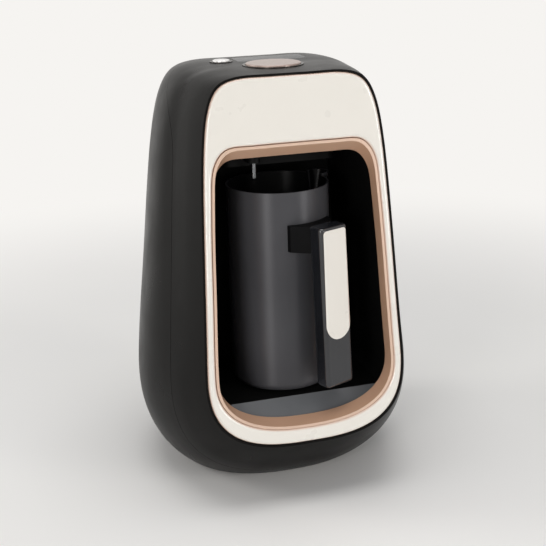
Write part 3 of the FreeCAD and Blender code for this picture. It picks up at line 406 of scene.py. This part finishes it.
def dress_nodes():
    """Gives every node of the coffee maker its finish."""
    dress(["front_shell", "rear_shell"], satin_black_abs())
    dress(["front_frame", "handle_inlay"], lacquered_cream())
    dress(["opening_bezel"], champagne_trim())
    dress(["cavity_liner", "pot_platform", "sensor_head"],
          textured_moulding("textured_black_polypropylene", "050505", "090909", 0.55, shine=0.1))
    dress(["handle_bracket"],
          textured_moulding("fine_black_moulding", "0A0A0B", "0F0F10", 0.5, 0.7, 0.01, 0.05))
    # Painted light: the sill's mid grey is partly the dark plastic's own colour and partly the look of its
    # front-lit face.
    dress(["front_sill"], textured_moulding("grey_polypropylene_painted_lit", "4C4E51", "56585B", 0.5))
    dress(["pot_wall"], coated_dark_steel())
    dress(["handle_grip"], polished_phenolic())
    dress(["main_button"], pearl_lacquer("rose_pearl_lacquer", "A08C82", "AB988F"))
    # Partly painted highlight: the cap's near white is partly its own pale colour and partly a blown-out
    # reflection painted in.
    dress(["small_button"], pearl_lacquer("white_pearl_with_painted_highlight", "EDEBE8", "F2F0EE"))
    dress(["main_button_ring", "small_button_ring"], metal("dark_plated_ring", "35312E", "3F3A36", 0.28))
    dress(["control_strip"], acrylic_panel())
    dress(["button_carrier", "base_plate"],
          textured_moulding("plain_grey_moulding", "333436", "3C3D3F", 0.6, 1.2))
    dress(["tact_switches", "buzzer", "base_connector", "pot_foot_cover", "cord_gland"],
          textured_moulding("heatproof_black_moulding", "161617", "1C1C1E", 0.55, 1.0))
    dress(["pot_socket"], textured_moulding("white_heatproof_resin", "D2CEC3", "DDD9CE", 0.45, 1.0))
    dress(["connector_pins", "socket_contacts"], metal("turned_brass", "B8924A", "CBA65C", 0.25))
    dress(["base_screws", "carrier_screws", "control_board_screws", "power_board_screws",
           "foot_cover_screws", "handle_screws"],
          metal("zinc_plated_steel", "A9ABAE", "BDBFC2", 0.3, 3.0))
    wire = metal("drawn_spring_wire", "8A8D91", "9DA0A4", 0.3, 2.0)
    coil_spring("main_button", wire)
    coil_spring("small_button", wire)
    dress(["heating_plate", "pot_thermostat"], metal("cast_aluminium", "A8AAAC", "BCBEC0", 0.42, 4.0, 0.6))
    dress(["heating_element"], metal("annealed_steel_sheath", "76726D", "8F8A84", 0.4, 5.0))
    dress(["foam_probe"], metal("polished_stainless_probe", "606264", "6E7072", 0.28, 40.0, 12.0))
    dress(["rubber_feet"], moulded_rubber("moulded_black_rubber", "1A1A1B", "232324"))
    dress(["probe_seal"], moulded_rubber("black_silicone", "202021", "2A2A2B"))
    dress(["control_board", "power_board"], circuit_board())


def set_camera():
    """Camera at the photograph's viewing angle, with its small roll."""
    azimuth = math.radians(CAMERA_AZIMUTH)
    elevation = math.radians(CAMERA_ELEVATION)
    roll = math.radians(CAMERA_ROLL)
    back = Vector((math.sin(azimuth) * math.cos(elevation), -math.cos(azimuth) * math.cos(elevation),
                   math.sin(elevation)))
    right = Vector((math.cos(azimuth), math.sin(azimuth), 0.0))
    up = back.cross(right)
    rolled_right = right * math.cos(roll) - up * math.sin(roll)
    rolled_up = up * math.cos(roll) + right * math.sin(roll)
    data = bpy.data.cameras.new("photo_camera")
    data.sensor_width = SENSOR_WIDTH
    data.lens = FOCAL_PIXELS / PICTURE_SIDE * SENSOR_WIDTH
    camera = link("photo_camera", data)
    turn = Matrix((rolled_right, rolled_up, back)).transposed().to_4x4()
    camera.matrix_world = Matrix.Translation(CAMERA_TARGET + back * CAMERA_DISTANCE) @ turn
    bpy.context.scene.camera = camera


def seen_directly(tree):
    """One for the rays that show the backdrop: the camera's own, mirrored ones and those through glass."""
    path = add(tree, "ShaderNodeLightPath")
    first = add(tree, "ShaderNodeMath", {"operation": "MAXIMUM"},
                {0: path.outputs["Is Camera Ray"], 1: path.outputs["Is Transmission Ray"]})
    both = add(tree, "ShaderNodeMath", {"operation": "MAXIMUM"},
               {0: first.outputs["Value"], 1: path.outputs["Is Glossy Ray"]})
    return both.outputs["Value"]


def pale_floor_finish():
    """Matt pale table top, which gives way to the backdrop's colour further out."""
    made, tree, shader, place = material("pale_matt_floor", IOR=1.45)
    tint(tree, shader, cloudiness(tree, place, 400, 0.0, 1.0), "F0EEEA", "F4F2EF")
    roughen(tree, shader, cloudiness(tree, place, 90, 0.6, 0.75))
    away = add(tree, "ShaderNodeVectorMath", {"operation": "LENGTH"}, {0: place})
    fade = add(tree, "ShaderNodeMapRange",
               {"interpolation_type": "SMOOTHSTEP", "From Min": FADE_START, "From Max": FADE_END},
               {"Value": away.outputs["Value"]})
    shown = add(tree, "ShaderNodeMath", {"operation": "MULTIPLY"},
                {0: fade.outputs["Result"], 1: seen_directly(tree)})
    glow = add(tree, "ShaderNodeEmission", {"Color": linear(BACKGROUND), "Strength": 1.0})
    mix = add(tree, "ShaderNodeMixShader", None,
              {0: shown.outputs["Value"], 1: shader.outputs["BSDF"], 2: glow.outputs["Emission"]})
    tree.links.new(mix.outputs["Shader"], tree.nodes["Material Output"].inputs["Surface"])
    return made


def set_floor():
    """Pale round floor that keeps the object's shadow."""
    mesh = bpy.data.meshes.new("floor")
    rim = []
    for i in range(FLOOR_SIDES):
        angle = 2 * math.pi * i / FLOOR_SIDES
        rim.append((FLOOR_RADIUS * math.cos(angle), FLOOR_RADIUS * math.sin(angle), 0.0))
    mesh.from_pydata(rim, [], [range(FLOOR_SIDES)])
    mesh.materials.append(pale_floor_finish())
    link("floor", mesh)


def set_world():
    """Even studio ambience: dimmer on the object than the pale background that the camera sees."""
    world = bpy.data.worlds.new("studio")
    world.use_nodes = True
    tree = world.node_tree
    tree.nodes.clear()
    ambient = add(tree, "ShaderNodeBackground", {"Color": linear(AMBIENT), "Strength": AMBIENT_STRENGTH})
    backdrop = add(tree, "ShaderNodeBackground", {"Color": linear(BACKGROUND), "Strength": 1.0})
    mix = add(tree, "ShaderNodeMixShader", None,
              {0: seen_directly(tree), 1: ambient.outputs["Background"], 2: backdrop.outputs["Background"]})
    add(tree, "ShaderNodeOutputWorld", None, {"Surface": mix.outputs["Shader"]})
    bpy.context.scene.world = world


def set_lights():
    """Rectangular soft lights, each aimed at a point, that don't show in the picture themselves."""
    for name, (place, aim, size, power, colour) in SOFTBOXES.items():
        data = bpy.data.lights.new(name, "AREA")
        data.shape = "RECTANGLE"
        data.size, data.size_y = size
        data.energy = power
        data.color = linear(colour)[:3]
        lamp = link(name, data)
        lamp.location = place
        lamp.visible_camera = False
        lamp.rotation_mode = "QUATERNION"
        lamp.rotation_quaternion = (Vector(aim) - Vector(place)).to_track_quat("-Z", "Y")


dress_nodes()
set_floor()
set_world()
set_lights()
set_camera()
bpy.context.scene.view_settings.view_transform = "Standard"
